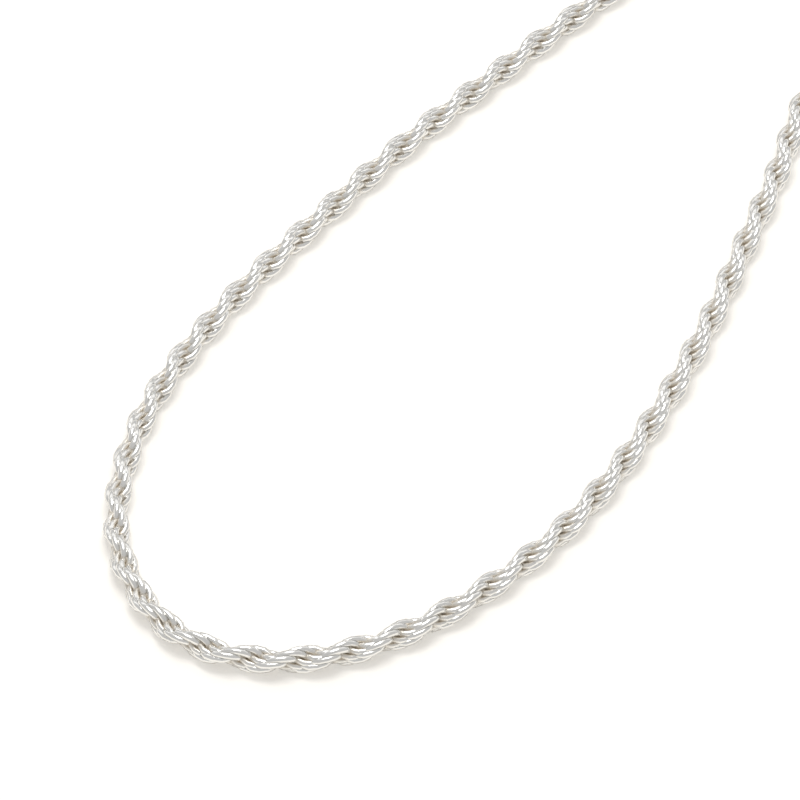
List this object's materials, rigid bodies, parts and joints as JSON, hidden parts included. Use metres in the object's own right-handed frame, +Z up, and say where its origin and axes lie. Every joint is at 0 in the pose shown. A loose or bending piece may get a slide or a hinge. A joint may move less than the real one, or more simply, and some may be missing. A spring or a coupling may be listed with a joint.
{
  "type": "rope chain necklace",
  "caption": "Silver rope chain necklace lying as a closed loop, two strands of small rings wound round each other, with jump rings and a plain clasp.",
  "frame": {"origin": "on the surface that the necklace lies on, under the middle of the whole loop's box", "axes": "+Z up from the surface, +Y along the loop from its front bend to the clasp, +X to the right across the loop"},
  "size_m": [0.0555, 0.1997, 0.0033],
  "materials": {
    "rope_silver": "bright polished silver wire, warm and dark in the crevices",
    "ring_silver": "polished silver wire",
    "clasp_silver": "polished cast silver"
  },
  "bodies": {
    "root": {"rope_chain": "rope_silver", "jump_ring_left": "ring_silver", "jump_ring_right": "ring_silver", "clasp": "clasp_silver"}
  },
  "joints": []
}
